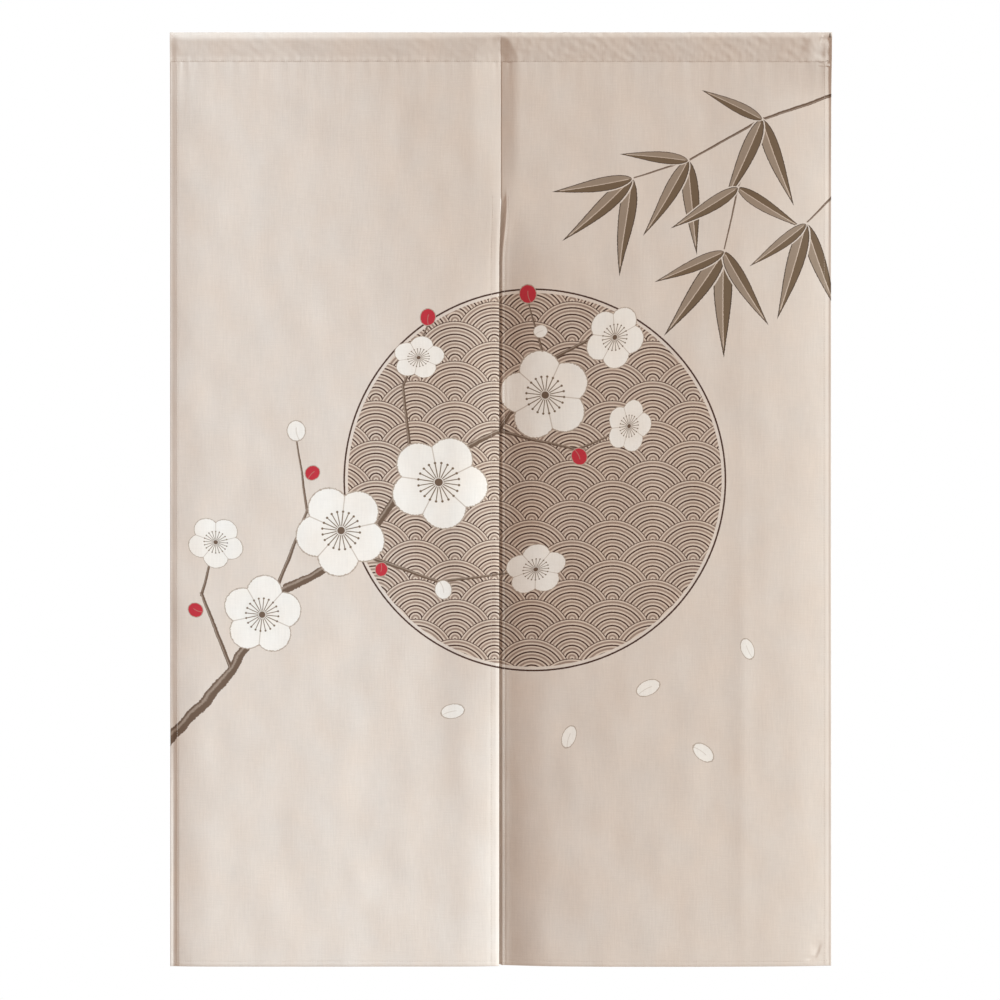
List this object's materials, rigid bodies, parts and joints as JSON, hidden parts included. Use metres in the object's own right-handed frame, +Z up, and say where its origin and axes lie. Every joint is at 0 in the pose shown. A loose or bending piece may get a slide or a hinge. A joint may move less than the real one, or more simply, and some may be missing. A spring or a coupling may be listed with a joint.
{
  "type": "noren curtain",
  "caption": "Doorway curtain of two hanging cloth panels, sewn together at the top and parted below, with a rod pocket along its top edge.",
  "frame": {"origin": "on the centre line of the rod that the top pocket takes, at mid width", "axes": "+Z up along the hanging cloth; -Y is the printed front; +X to the right seen from the front, along the rod"},
  "size_m": [0.85, 0.0447, 1.2],
  "materials": {
    "panel_cloth": "matte printed linen-look weave",
    "pocket_cloth": "matte linen-look weave"
  },
  "bodies": {
    "root": {"left_panel": "panel_cloth", "right_panel": "panel_cloth", "rod_pocket": "pocket_cloth"}
  },
  "joints": []
}
